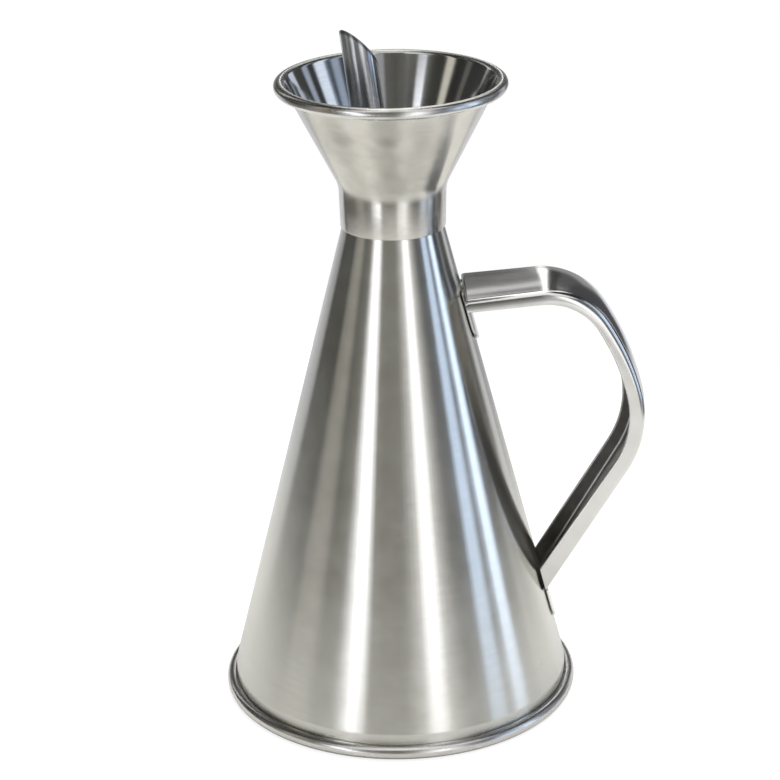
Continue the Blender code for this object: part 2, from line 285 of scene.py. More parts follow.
# How far the brushing and the specks darken and lighten, for a grain of 1
SCRATCH_DARK, SCRATCH_LIGHT = 0.30, 0.14
SPECK_DARK, SPECK_LIGHT = 0.10, 0.05
# Roughness: factors in the patches, and the coarse brushing's share to both sides
ROUGH_LOW, ROUGH_HIGH = 0.90, 1.10
ROUGH_BANDS = 0.004
# The brushing's relief, and how much less the finest lines have of it
RELIEF_STRENGTH, RELIEF_DEPTH = 0.30, 0.00002
FINE_RELIEF = 0.4
QUARTER_TURN = 0.25


def shaded(colour, shade):
    """Colour times a shade, as a node takes it."""
    return tuple(channel * factor for channel, factor in zip(colour, shade)) + (1.0,)


def brushed_round(graph, around, along, scales):
    """Noise place for brushing that runs round a line."""
    turning, crossing = scales
    return graph.vmath("ADD", graph.scaled(around, turning),
                       graph.scaled((0.0, 0.0, 1.0), graph.math("MULTIPLY", along, crossing)))


def steel(name, colour, roughness, grain, stretch=0.0, spin=None, blotch=0.04, wave=0.0,
          swell_scale=24.0, cut_plane=None, stain=0.0, spots_and_painted_shade=()):
    """Steel with fine brushing, cloudy patches and a slightly uneven surface.

    spin is a point and a direction: the line that the brushing runs round. Without it the
    brushing runs along the handle's strip. stretch pulls reflections out across the brushing
    and needs a spin. grain is the brushing's strength, blotch that of the patches and stain that
    of the smudges. wave and swell_scale are the depth and the noise scale of the slow unevenness.
    cut_plane is a point and a normal: the metal is darker in a band beside it. marks are darker
    spots in the colour, each as place, reach, strength and how much shorter they are in height; on
    the rim's bead and up the flare they are painted shade.
    """
    material = bpy.data.materials.new(name)
    graph = Graph(material)
    shader = graph.nodes["Principled BSDF"]
    shader.inputs["Metallic"].default_value = 1.0
    place = graph.new("ShaderNodeTexCoord").outputs["Object"]
    if spin:
        point, direction = spin
        away = graph.vmath("SUBTRACT", place, point)
        height = graph.vmath("DOT_PRODUCT", away, direction)
        level = graph.vmath("SUBTRACT", away, graph.scaled(tuple(direction), height))
        radius = graph.vmath("LENGTH", level)
        around = graph.vmath("NORMALIZE", level)
        along = graph.math("ADD", height, radius)
        fine = brushed_round(graph, around, along, FINE_ROUND)
        coarse = brushed_round(graph, around, along, COARSE_ROUND)
        tangent = graph.vmath("NORMALIZE", graph.vmath("CROSS_PRODUCT", tuple(direction), level))
    else:
        fine = graph.vmath("MULTIPLY", place, FINE_STRIP)
        coarse = graph.vmath("MULTIPLY", place, COARSE_STRIP)
    scratches = graph.noise(fine, detail=2.0, roughness=0.6)
    bands = graph.noise(coarse, detail=2.0)
    clouds = graph.noise(place, scale=CLOUD_SCALE, detail=3.0)
    patches = graph.noise(place, scale=PATCH_SCALE, detail=2.0, roughness=0.6)
    specks = graph.noise(place, scale=SPECK_SCALE, detail=2.0, roughness=0.6)

    tone = graph.math("ADD", graph.math("MULTIPLY", clouds, CLOUD_SHARE),
                      graph.math("MULTIPLY", patches, PATCH_SHARE))
    darker = shaded([channel * (1.0 - blotch) for channel in colour], DARK_PATCH)
    lighter = shaded(colour, [1.0 + blotch] * 3)
    base = graph.mix(graph.span(tone, *TONE_SPAN), darker, lighter)
    outline = clouds
    if stain:
        outline = graph.noise(place, scale=STAIN_SCALE, detail=2.0, roughness=0.55)
        smudge = graph.span(outline, *STAIN_SPAN, 0.0, stain, smooth=True)
        base = graph.mix(smudge, base, shaded(colour, STAIN_SHADE))
    # Darker spots in the colour; those on the rim's bead and up the flare are painted shade
    for spot, reach, strength, squeeze in spots_and_painted_shade:
        off = graph.vmath("MULTIPLY", graph.vmath("SUBTRACT", place, spot), (1.0, 1.0, squeeze))
        away = graph.math("MULTIPLY_ADD", outline, reach * MARK_WANDER, graph.vmath("LENGTH", off))
        spot_and_shade_mask = graph.span(away, reach * MARK_MIDDLE, reach * MARK_EDGE, strength, 0.0, smooth=True)
        base = graph.mix(spot_and_shade_mask, base, shaded(colour, SPOT_AND_PAINTED_SHADE))
    # The colour is painted much darker in a band beside the cut
    if cut_plane:
        point, normal = cut_plane
        depth = graph.vmath("DOT_PRODUCT", graph.vmath("SUBTRACT", place, point), normal)
        cut_dark = graph.span(depth, CUT_DARK_BAND[1], CUT_DARK_BAND[0], 0.0, CUT_DARK_STRENGTH, smooth=True)
        base = graph.mix(cut_dark, base, CUT_DARK_COLOUR)
    streak = graph.swing(scratches, 1.0 - grain * SCRATCH_DARK, 1.0 + grain * SCRATCH_LIGHT)
    speckle = graph.swing(specks, 1.0 - grain * SPECK_DARK, 1.0 + grain * SPECK_LIGHT)
    streak = graph.math("MULTIPLY", streak, speckle)
    graph.put(shader.inputs["Base Color"], graph.scaled(base, streak))

    rough = graph.math("ADD", graph.swing(tone, roughness * ROUGH_LOW, roughness * ROUGH_HIGH),
                       graph.swing(bands, -ROUGH_BANDS, ROUGH_BANDS))
    graph.put(shader.inputs["Roughness"], rough)
    relief = graph.math("ADD", graph.math("MULTIPLY", scratches, grain * FINE_RELIEF),
                        graph.math("MULTIPLY", bands, grain))
    bump = graph.new("ShaderNodeBump", Height=relief, Strength=RELIEF_STRENGTH,
                     Distance=RELIEF_DEPTH)
    if wave:
        swell = graph.noise(place, scale=swell_scale, detail=1.5)
        smooth = graph.new("ShaderNodeBump", Height=swell, Strength=1.0, Distance=wave)
        graph.put(bump.inputs["Normal"], smooth.outputs[0])
    graph.put(shader.inputs["Normal"], bump.outputs[0])
    if stretch:
        graph.put(shader.inputs["Tangent"], tangent)
        shader.inputs["Anisotropic"].default_value = stretch
        shader.inputs["Anisotropic Rotation"].default_value = QUARTER_TURN
    material.diffuse_color = (*colour, 1.0)
    return material


# Profile helpers

def arc(centre, radius, start, sweep, steps):
    turns = [start + sweep * step / steps for step in range(steps + 1)]
    return [Vector((centre[0] + radius * math.cos(turn), centre[1] + radius * math.sin(turn)))
            for turn in turns]


def rounded(points, radii):
    """Round an open path's inner corners, with support loops beside each bend."""
    points = [Vector(point) for point in points]
    path = [points[0]]
    for before, corner, after, radius in zip(points, points[1:], points[2:], radii):
        back = (before - corner).normalized()
        ahead = (after - corner).normalized()
        half = back.angle(ahead) / 2
        reach = radius / math.tan(half)
        first = corner + back * reach
        last = corner + ahead * reach
        centre = corner + (back + ahead).normalized() * radius / math.sin(half)
        if (before - first).length > 3 * SUPPORT:
            path.append(first + back * SUPPORT)
        start = math.atan2(first.y - centre.y, first.x - centre.x)
        sweep = math.atan2(last.y - centre.y, last.x - centre.x) - start
        sweep = (sweep + math.pi) % (2 * math.pi) - math.pi
        path += arc(centre, radius, start, sweep, ARC_STEPS)
        if (after - last).length > 3 * SUPPORT:
            path.append(last + ahead * SUPPORT)
    path.append(points[-1])
    return path


def offset(path, distance):
    """Path moved to its right-hand side by a distance, with mitred corners."""
    moved = []
    for index, point in enumerate(path):
        sides = []
        for first, second in ((index - 1, index), (index, index + 1)):
            if first >= 0 and second < len(path):
                run = (path[second] - path[first]).normalized()
                sides.append(Vector((run.y, -run.x)))
        normal = sum(sides, Vector((0.0, 0.0))).normalized()
        moved.append(point + normal * distance / normal.dot(sides[0]))
    return moved


def closed_section(face, back):
    """Loop down one side of the sheet and back up the other, its edges rounded."""
    return face + edge_round(face, back, -1) + back[::-1] + edge_round(back, face, 0)


def edge_round(first, second, end):
    """Points of the rounded edge from one side's end, 0 or -1, to the other's."""
    start, stop = first[end], second[end]
    neighbour = first[-2] if end == -1 else first[1]
    outward = (start - neighbour).normalized()
    centre = (start + stop) / 2
    across = start - centre
    radius = across.length
    return [centre + across * math.cos(turn) + outward * radius * math.sin(turn)
            for turn in (math.pi * step / (EDGE_POINTS + 1) for step in range(1, EDGE_POINTS + 1))]


# Mesh helpers

def turned_rings(bm, loop, x=0.0):
    """Rings of points: an (r, z) loop turned round the vertical line at x."""
    rings = []
    for step in range(TURN_STEPS):
        turn = 2 * math.pi * step / TURN_STEPS
        across, along = math.cos(turn), math.sin(turn)
        rings.append([bm.verts.new((x + point.x * across, point.x * along, point.y))
                      for point in loop])
    return rings


def join_rings(bm, rings, around=True, closed=True, pick=None):
    """Faces between neighbouring rings.

    around also joins the last ring to the first, and closed each ring's last point to its first.
    pick gives the material's index for a place on the ring.
    """
    pairs = list(zip(rings, rings[1:]))
    if around:
        pairs.append((rings[-1], rings[0]))
    for ring, following in pairs:
        for near in range(len(ring) if closed else len(ring) - 1):
            far = (near + 1) % len(ring)
            face = bm.faces.new((ring[near], following[near], following[far], ring[far]))
            if pick:
                face.material_index = pick(near)


def finish_piece(name, bm, materials, sharp=None):
    """Object made of bm, smooth but for edges that turn by more than sharp, in degrees."""
    bmesh.ops.recalc_face_normals(bm, faces=bm.faces)
    mesh = bpy.data.meshes.new(name)
    bm.to_mesh(mesh)
    bm.free()
    mesh.shade_smooth()
    if sharp:
        mesh.set_sharp_from_angle(angle=math.radians(sharp))
    for material in materials:
        mesh.materials.append(material)
    obj = bpy.data.objects.new(name, mesh)
    bpy.context.scene.collection.objects.link(obj)
    return obj


def lathe(name, loop, materials, pick=None):
    """Turn a closed (r, z) loop round the can's axis."""
    bm = bmesh.new()
    join_rings(bm, turned_rings(bm, loop, axis_x), pick=pick)
    bmesh.ops.remove_doubles(bm, verts=bm.verts, dist=WELD)
    return finish_piece(name, bm, materials)


def dress(obj, node, body):
    """Let a finer piece stand for its solid."""
    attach(obj, body)
    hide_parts(node)


# Can

def cone_radius(height):
    return FOOT_RADIUS - (height - FOOT_BAND_TOP) * cone_slope


def make_cone(material):
    """Neck, ledge, cone, foot band and flange; the outer face comes first."""
    flange_top = SHEET + CLEARANCE + SHEET
    points = [Vector(point) for point in (
        (neck_radius, SHOULDER_HEIGHT + NECK_LENGTH),
        (neck_radius, SHOULDER_HEIGHT),
        (SHOULDER_RADIUS, SHOULDER_HEIGHT),
        (FOOT_RADIUS, FOOT_BAND_TOP),
        (FOOT_RADIUS, flange_top),
        (bead_centre, flange_top))]
    bends = (LEDGE_FOOT_BEND, LEDGE_EDGE_BEND, CONE_BEND)
    face = rounded(points, (*bends, FLANGE_BEND))
    back = rounded(offset(points, SHEET), (*bends, FLANGE_BACK_BEND))
    return lathe("cone_shell", closed_section(face, back), [material])


def make_base(polished, plain):
    """Bead rolled over the wall's flange, and the recessed pan; the lower face comes first."""
    bead_radius = BEAD_DIAMETER / 2
    lip = math.acos((FOOT_RADIUS + CLEARANCE - bead_centre) / bead_radius)
    wall = FOOT_RADIUS - 2 * SHEET - CLEARANCE
    face = arc((bead_centre, bead_radius), bead_radius, lip, -lip - math.pi / 2, BEAD_STEPS)
    polished_count = len(face) + 2
    rest = [face[-1], Vector((wall, 0.0)), Vector((wall, PAN_RISE)), Vector((0.0, PAN_RISE))]
    face += rounded(rest, (PAN_FOOT_BEND, PAN_TOP_BEND))[1:]
    back = offset(face, SHEET)
    back[-1] = Vector((0.0, back[-1].y))
    return lathe("base_bead_and_pan", closed_section(face, back), [polished, plain],
                 pick=lambda index: 0 if index < polished_count else 1)


# Head

def make_cup(satin, polished, bead):
    """Collar, flare and a rim curled outwards; the inner face comes first."""
    bead_radius = RIM_BEAD_DIAMETER / 2
    foot = Vector((collar_bore, 0.0))
    kink = Vector((KINK_RADIUS - SHEET, KINK_HEIGHT))
    centre = Vector((RIM_RADIUS, RIM_HEIGHT))
    reach = (centre - kink).length
    flare = math.atan2(centre.x - kink.x, centre.y - kink.y) - math.asin(bead_radius / reach)
    stop = math.acos((bead_radius - SHEET - CLEARANCE) / bead_radius)
    curl = arc(centre, bead_radius, math.pi - flare, stop - 2 * math.pi, CURL_STEPS)
    inner = rounded([foot, kink, curl[0]], (KINK_BEND,))
    flat_count = len(inner)
    inner += curl[1:]
    bead_count = len(inner) + EDGE_POINTS - 1
    back = offset(inner, SHEET)
    inner = [point + Vector((0.0, collar_foot)) for point in inner]
    back = [point + Vector((0.0, collar_foot)) for point in back]

    def pick(index):
        if index < flat_count:
            return 0
        return 1 if index < bead_count else 2

    return lathe("drip_cup", closed_section(inner, back), [polished, bead, satin], pick=pick)


def make_spout(material):
    """Tube with a slant mouth whose edge is lightly broken."""
    outer = SPOUT_DIAMETER / 2
    bm = bmesh.new()
    rings = []
    for step in range(TUBE_STEPS):
        turn = 2 * math.pi * step / TUBE_STEPS
        lip = []
        for inset, drop in SPOUT_LIP:
            radius = outer - inset / 1000
            mouth = SPOUT_REACH - (outer + radius * math.cos(turn)) * math.tan(SPOUT_CUT)
            lip.append((radius, mouth - drop / 1000))
        walls = []
        for radius, top in (lip[0], lip[-1]):
            top -= SUPPORT
            run = -SPOUT_TAIL + SUPPORT - top
            spread = [top + run * part / TUBE_PARTS for part in range(TUBE_PARTS + 1)]
            walls.append([(radius, length) for length in spread + [-SPOUT_TAIL]])
        section = walls[0][::-1] + lip + walls[1]
        rings.append([bm.verts.new((radius * math.cos(turn), radius * math.sin(turn), length))
                      for radius, length in section])
    join_rings(bm, rings)
    bmesh.ops.transform(bm, matrix=tube_place, verts=bm.verts)
    return finish_piece("pouring_tube", bm, [material])


def closed_edges(bm, points):
    """Edges of a closed loop of points, those that are there already and new ones."""
    return [bm.edges.get(pair) or bm.edges.new(pair)
            for pair in zip(points, points[1:] + points[:1])]


def make_plate(material):
    """Pressed plate across the throat: flat top with two holes, bent rim and skirt."""
    skirt_foot = SHOULDER_HEIGHT + NECK_LENGTH + CLEARANCE - collar_foot
    taper = (KINK_RADIUS - COLLAR_WAIST_RADIUS) / KINK_HEIGHT
    radius = collar_bore + skirt_foot * taper - CLEARANCE
    bend = PLATE_BEND + SHEET
    face = [Vector((PLATE_RING_RADIUS, KINK_HEIGHT)),
            Vector((radius - bend - SUPPORT, KINK_HEIGHT))]
    face += arc((radius - bend, KINK_HEIGHT - bend), bend, math.pi / 2, -math.pi / 2,
                PLATE_BEND_STEPS)
    face += [Vector((radius, KINK_HEIGHT - bend - SUPPORT)), Vector((radius, skirt_foot))]
    back = offset(face, SHEET)
    bm = bmesh.new()
    rings = turned_rings(bm, face + edge_round(face, back, -1) + back[::-1])
    join_rings(bm, rings, closed=False)

    # The spout's hole and the drain, as middle and half lengths in X and Y
    spout_hole = (-SPOUT_OFFSET, SPOUT_DIAMETER / 2 / math.cos(SPOUT_LEAN), SPOUT_DIAMETER / 2)
    drain = (DRAIN_OFFSET, DRAIN_DIAMETER / 2, DRAIN_DIAMETER / 2)
    turns = [2 * math.pi * step / HOLE_STEPS for step in range(HOLE_STEPS)]
    above = []
    for level, end in ((KINK_HEIGHT, 0), (KINK_HEIGHT - SHEET, -1)):
        edges = closed_edges(bm, [ring[end] for ring in rings])
        holes = []
        for centre, across, along in (spout_hole, drain):
            holes.append([bm.verts.new((centre + across * math.cos(turn), along * math.sin(turn),
                                        level)) for turn in turns])
            edges += closed_edges(bm, holes[-1])
        for upper, lower in zip(above, holes):
            for near in range(HOLE_STEPS):
                far = (near + 1) % HOLE_STEPS
                bm.faces.new((upper[near], upper[far], lower[far], lower[near]))
        above = holes
        bmesh.ops.triangle_fill(bm, use_beauty=True, edges=edges)
    return head_piece("throat_plate", bm, material)


def make_fillet(material):
    """Solder run round the spout's foot, of a width that wanders as one laid by hand does."""
    loop = []
    for part in range(SOLDER_STEPS + 1):
        turn = math.pi / 2 * part / SOLDER_STEPS
        loop.append((SOLDER_RUN * (1 - math.sin(turn)), SOLDER_RUN * (1 - math.cos(turn))))
    loop += [(-SOLDER_IN_TUBE, SOLDER_RUN), (-SOLDER_IN_TUBE, -SOLDER_IN_PLATE),
             (SOLDER_RUN, -SOLDER_IN_PLATE)]
    bm = bmesh.new()
    rings = []
    for step in range(TUBE_STEPS):
        turn = 2 * math.pi * step / TUBE_STEPS
        swell = 1.0 + 0.12 * math.sin(3 * turn + 0.7) + 0.08 * math.sin(7 * turn)
        ring = []
        for out, up in loop:
            middle = -SPOUT_OFFSET - up * math.tan(SPOUT_LEAN)
            radius = SPOUT_DIAMETER / 2 + out * swell
            ring.append(bm.verts.new((middle + radius * math.cos(turn), radius * math.sin(turn),
                                      KINK_HEIGHT + up)))
        rings.append(ring)
    join_rings(bm, rings)
    return head_piece("spout_solder", bm, material)


def head_piece(name, bm, material):
    bmesh.ops.transform(bm, matrix=head_place, verts=bm.verts)
    return finish_piece(name, bm, [material], sharp=40.0)


# Handle

def strap_path():
    """Spots and headings along the middle of the strap's outer face.

    The first and the last lie on the cone; straight runs lead to their neighbours.
    """
    heading = UPPER_ARM_PITCH
    spot = Vector((cone_radius(HANDLE_TOP_HEIGHT), HANDLE_TOP_HEIGHT))
    path = [(spot.copy(), heading)]
    spot = spot + Vector((math.cos(heading), math.sin(heading))) * UPPER_ARM
    path.append((spot.copy(), heading))
    for radius, pitch, steps in STRAP_BENDS:
        turn = (pitch - heading) / steps
        chord = 2 * radius * math.sin(abs(turn) / 2)
        for _ in range(steps):
            middle = heading + turn / 2
            spot = spot + Vector((math.cos(middle), math.sin(middle))) * chord
            heading += turn
            path.append((spot.copy(), heading))
    along = Vector((math.cos(heading), math.sin(heading)))
    inside = cone_radius(spot.y) - spot.x
    spot = spot + along * inside / (along.x + along.y * cone_slope)
    path.append((spot.copy(), heading))
    return path


def strap_section(width, depth, radius):
    """Open outline of the pressed channel's outside, from one wall's edge to the other's."""
    half = width / 2
    corner = arc((radius - half, STRAP_CROWN + radius), radius, math.pi, math.pi / 2, CORNER_STEPS)
    side = [Vector((-half, depth)), Vector((-half, depth - SUPPORT))] + corner
    flat = half - radius
    crown = []
    for step in range(1, CROWN_STEPS):
        across = flat * (2 * step / CROWN_STEPS - 1)
        crown.append(Vector((across, STRAP_CROWN * (across / flat) ** 2)))
    mirrored = [Vector((-point.x, point.y)) for point in reversed(side)]
    return side + crown + mirrored


def strap_rings(path):
    """Closed channel sections along the strap; both ends are cut along the cone's line."""
    spans = [(after[0] - before[0]).length for before, after in zip(path, path[1:])]
    total = TOP_DEPTH + sum(spans) + LOW_WIDTH / 2
    foot = Vector((FOOT_RADIUS, FOOT_BAND_TOP))

    def cut_back(flat, across, heading, share, lower):
        """Point moved along the straight run: share 0 is at the cut, 1 where the run starts."""
        along = Vector((math.cos(heading), math.sin(heading)))
        room = (flat - foot).dot(off_cone) - END_GAP
        if lower and across > 0.0:
            middle = cone_radius(flat.y)
            room += (middle - math.sqrt(middle ** 2 - across ** 2)) * off_cone.x
        reach = room / along.dot(off_cone)
        return flat - along * reach * (1.0 - share)

    def ring(spot, heading, travelled, near=None, share=None, lower=False):
        """Section at a spot, or at a distance near from the cut of the run that starts there."""
        part = travelled / total
        width = TOP_WIDTH + (LOW_WIDTH - TOP_WIDTH) * part
        depth = TOP_DEPTH + (LOW_DEPTH - TOP_DEPTH) * part
        grip = min(1.0, max(0.0, (part - GRIP_START) / GRIP_EASE))
        face = strap_section(width, depth, STRAP_CORNER + (GRIP_CORNER - STRAP_CORNER) * grip)
        inward = Vector((math.sin(heading), -math.cos(heading)))
        places = []
        for point in closed_section(face, offset(face, -HANDLE_SHEET)):
            flat = spot + inward * point.y
            if near is not None:
                flat = cut_back(flat, point.x, heading, share, lower)
                if near < END_BEND and not lower:
                    drop = END_BEND - math.sqrt(END_BEND ** 2 - (END_BEND - near) ** 2)
                    flat = flat + inward * drop * max(0.0, 1.0 - point.y / (END_BEND_REACH * depth))
            places.append((flat.x + axis_x, point.x, flat.y))
        return places

    rings = []
    for near in END_STEPS:
        if near < spans[0]:
            rings.append(ring(*path[1], TOP_DEPTH + near, near, near / spans[0]))
    travelled = TOP_DEPTH + spans[0]
    for (spot, heading), span in zip(path[1:-1], spans[1:]):
        rings.append(ring(spot, heading, travelled))
        travelled += span
    for near in reversed(END_STEPS):
        if near < spans[-1]:
            rings.append(ring(*path[-2], travelled - near, near, near / spans[-1], lower=True))
    return rings


def make_handle(outside, inside):
    """Channel along the strap, its ends closed and a tongue at each."""
    path = strap_path()
    bm = bmesh.new()
    rows = [[bm.verts.new(place) for place in ring] for ring in strap_rings(path)]
    count = len(rows[0]) // 2 - EDGE_POINTS
    back_start = count + EDGE_POINTS
    back_end = back_start + count
    join_rings(bm, rows, around=False,
               pick=lambda near: 1 if back_start - 1 <= near < back_end else 0)
    for row in (rows[0], rows[-1]):
        face, back = row[:count], row[back_start:back_end][::-1]
        for near in range(count - 1):
            bm.faces.new((face[near], face[near + 1], back[near + 1], back[near]))
        bm.faces.new([face[-1]] + row[count:back_start] + [back[-1]])
        bm.faces.new([back[0]] + row[back_end:] + [face[0]])
    add_tongue(bm, path[0][0].y - UPPER_TONGUE_DROP, UPPER_TONGUE, UPPER_TONGUE_SHEET)
    add_tongue(bm, path[-1][0].y, LOWER_TONGUE, LOWER_TONGUE_SHEET)
    return finish_piece("pressed_handle", bm, [outside, inside], sharp=50.0)


def add_tongue(bm, top, length, thick):
    """Round-ended tongue pressed against the cone, from a height down, with softened edges."""
    soft = TONGUE_SOFT
    columns = range(-TONGUE_STEPS, TONGUE_STEPS + 1)
    flat = TONGUE_WIDTH / 2 - TONGUE_END_RADIUS
    straight = length - TONGUE_END_RADIUS
    rows = [(straight * part / TONGUE_STEPS, 0.0) for part in range(TONGUE_STEPS)]
    rows += [(straight, math.pi / 2 * part / TONGUE_END_STEPS)
             for part in range(TONGUE_END_STEPS + 1)]

    def spot(row, column, grow, off):
        """Point on the tongue, grow past the outer face's edge and off the cone's surface."""
        down, turn = row
        reach = TONGUE_END_RADIUS - soft + grow
        across = (flat + reach * math.cos(turn)) * column / TONGUE_STEPS
        height = top - (down + reach * math.sin(turn)) * math.cos(cone_lean)
        radius = cone_radius(height)
        angle = across / radius
        radius += off * off_cone.x
        return (axis_x + radius * math.cos(angle), radius * math.sin(angle),
                height + off * off_cone.y)

    border = [(rows[0], column) for column in columns]
    border += [(row, TONGUE_STEPS) for row in rows[1:]]
    border += [(rows[-1], column) for column in reversed(columns[:-1])]
    border += [(row, -TONGUE_STEPS) for row in reversed(rows[1:-1])]
    sheets = []
    for off in (TONGUE_GAP + thick, TONGUE_GAP):
        grid = {(row, column): bm.verts.new(spot(row, column, 0.0, off))
                for row in rows for column in columns}
        for before, after in zip(rows, rows[1:]):
            for near, far in zip(columns, columns[1:]):
                bm.faces.new((grid[before, near], grid[after, near], grid[after, far],
                              grid[before, far]))
        sheets.append([grid[place] for place in border])
    loops = [sheets[0]]
    for grow, off in ((0.7 * soft, thick - 0.3 * soft), (soft, thick - soft), (soft, soft),
                      (0.7 * soft, 0.3 * soft)):
        loops.append([bm.verts.new(spot(row, column, grow, TONGUE_GAP + off))
                      for row, column in border])
    loops.append(sheets[1])
    for before, after in zip(loops, loops[1:]):
        for near in range(len(border)):
            far = (near + 1) % len(border)
            bm.faces.new((before[near], before[far], after[far], after[near]))


# Finishes of this can

# How much shorter than wide the spots are, and the size of the spots that make the painted
# reflection streaks up the flare
SPOT_SQUEEZE = 1.35
STREAK_REACH, STREAK_SQUEEZE = 0.0062, 0.5


def dark_spot(x, y, z, reach, strength):
    """Darker spot in the colour, its place measured from the can's axis."""
    return (axis_x + x, y, z), reach, strength, SPOT_SQUEEZE


def painted_flare_reflections():
    """Painted reflections: darker streaks up the flare where it would mirror the cone's dark bands,
    as tall spots whose places follow its slope.
    """
    spots_and_painted_shade = []
    for turn, strength in ((-36.0, 0.42), (-4.0, 0.48), (18.0, 0.40)):
        for radius in (0.022, 0.028, 0.034):
            share = (radius - KINK_RADIUS) / (RIM_RADIUS - KINK_RADIUS)
            height = collar_foot + KINK_HEIGHT + share * (RIM_HEIGHT - KINK_HEIGHT)
            place = (axis_x + radius * math.sin(math.radians(turn)),
                     -radius * math.cos(math.radians(turn)), height)
            spots_and_painted_shade.append((place, STREAK_REACH, strength, STREAK_SQUEEZE))
    return spots_and_painted_shade


upright = (Vector((axis_x, 0.0, 0.0)), Vector((0.0, 0.0, 1.0)))
tube_turn = tube_place.to_3x3()
tube_line = (tube_place.translation, (tube_turn @ Vector((0.0, 0.0, 1.0))).normalized())
mouth_normal = tube_turn @ Vector((math.sin(SPOUT_CUT), 0.0, math.cos(SPOUT_CUT)))
mouth_point = tube_place @ Vector((-SPOUT_DIAMETER / 2, 0.0, SPOUT_REACH))

satin = steel("satin_cone_steel", (0.66, 0.653, 0.612), roughness=0.25, grain=0.12,
              stretch=0.96, spin=upright, blotch=0.055, wave=0.00003)
cup_satin = steel("satin_cup_steel", (0.65, 0.630, 0.584), roughness=0.22, grain=0.22,
                  stretch=0.9, spin=upright, blotch=0.10, wave=0.00006, stain=0.45,
                  spots_and_painted_shade=(dark_spot(-0.0290, -0.0170, 0.2200, 0.0200, 0.34),
                         dark_spot(-0.0190, -0.0260, 0.2222, 0.0066, 0.92),
                         dark_spot(-0.0020, -0.0318, 0.2225, 0.0050, 0.80),
                         dark_spot(-0.0150, -0.0117, 0.1922, 0.0062, 0.90),
                         # painted reflections: darker streaks where the flare would mirror the
                         # cone's dark bands
                         *painted_flare_reflections()))
cup_polish = steel("polished_cup_steel", (0.64, 0.648, 0.648), roughness=0.12, grain=0.2,
                   stretch=0.8, spin=upright, blotch=0.05, wave=0.00011)
bead_polish = steel("polished_bead_steel", (0.68, 0.67, 0.645), roughness=0.27, grain=0.2,
                    spin=upright, blotch=0.04, wave=0.00005,
                    # painted reflection of the spout at the rim's front, and painted shade over the
                    # rim's far side
                    spots_and_painted_shade=(dark_spot(0.0003, -0.0398, 0.2355, 0.0040, 0.75),
                           dark_spot(0.0020, 0.0400, 0.2355, 0.0460, 0.70)))
base_plain = steel("plain_base_steel", (0.62, 0.61, 0.59), roughness=0.30, grain=0.5,
                   spin=upright, blotch=0.06)
tube_polish = steel("satin_tube_steel", (0.61, 0.625, 0.655), roughness=0.24, grain=0.2,
                    stretch=0.95, spin=tube_line, blotch=0.03, wave=0.00003,
                    cut_plane=(mouth_point, mouth_normal))
handle_polish = steel("polished_handle_steel", (0.67, 0.668, 0.65), roughness=0.14, grain=0.12,
                      blotch=0.04, wave=0.00016, swell_scale=46.0)
# Inside of the channel: plain, rougher steel whose colour is darkened as painted shade in the
# channel
handle_inside = steel("plain_handle_steel_painted_shade", (0.36, 0.35, 0.335), roughness=0.32, grain=0.6,
                      blotch=0.10, wave=0.00010)
plate_steel = steel("drip_plate_steel", (0.52, 0.51, 0.49), roughness=0.28, grain=0.4,
                    spin=upright, blotch=0.05)

# Build the pieces
dress(make_cone(satin), "cone_body", "can")
dress(make_base(bead_polish, base_plain), "base_pan", "can")
dress(make_handle(handle_polish, handle_inside), "handle", "can")
dress(make_cup(cup_satin, cup_polish, bead_polish), "funnel_cup", "drip_head")
dress(make_spout(tube_polish), "spout_tube", "drip_head")
dress(make_plate(plate_steel), "drip_plate", "drip_head")
fillet = make_fillet(plate_steel)
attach(fillet, "drip_head")


# Studio

TABLE_RADIUS = 0.36
TABLE_FADE = 0.06            # width of the table's darker edge, as the steel shows it
TABLE_MATT = (0.75, 0.745, 0.722, 1.0)
TABLE_EDGE = (0.47, 0.47, 0.46, 1.0)
TABLE_UNDER_GLOW = (0.24, 0.24, 0.24, 1.0)
TABLE_GLOW = 0.84            # with the shade above, the table is white to the camera
TABLE_DROP = 0.0001          # below the can's foot
WHITE = (1.0, 1.0, 1.0, 1.0)


def make_floor():
    """Round table top: white with the can's shadow to the camera, matt to everything else."""
    mesh = bpy.data.meshes.new("floor")
    bm = bmesh.new()
    bmesh.ops.create_circle(bm, cap_ends=True, segments=96, radius=TABLE_RADIUS)
    bm.to_mesh(mesh)
    bm.free()
    floor = bpy.data.objects.new("floor", mesh)
    bpy.context.scene.collection.objects.link(floor)
    floor.location = (axis_x, 0.0, -TABLE_DROP)
    material = bpy.data.materials.new("pale_floor")
    graph = Graph(material)
    graph.nodes.remove(graph.nodes["Principled BSDF"])
    away = graph.vmath("LENGTH", graph.new("ShaderNodeTexCoord").outputs["Object"])
    edge = graph.span(away, TABLE_RADIUS - TABLE_FADE, TABLE_RADIUS, smooth=True)
    matt = graph.new("ShaderNodeBsdfDiffuse", Color=graph.mix(edge, TABLE_MATT, TABLE_EDGE))
    faint = graph.new("ShaderNodeBsdfDiffuse", Color=TABLE_UNDER_GLOW)
    glow = graph.new("ShaderNodeEmission", Color=WHITE, Strength=TABLE_GLOW)
    white = graph.nodes.new("ShaderNodeAddShader")
    graph.put(white.inputs[0], faint.outputs[0])
    graph.put(white.inputs[1], glow.outputs[0])
    seen = graph.camera_ray()
    blend = graph.nodes.new("ShaderNodeMixShader")
    graph.put(blend.inputs[0], seen)
    graph.put(blend.inputs[1], matt.outputs[0])
    graph.put(blend.inputs[2], white.outputs[0])
    graph.put(graph.nodes["Material Output"].inputs["Surface"], blend.outputs[0])
    mesh.materials.append(material)


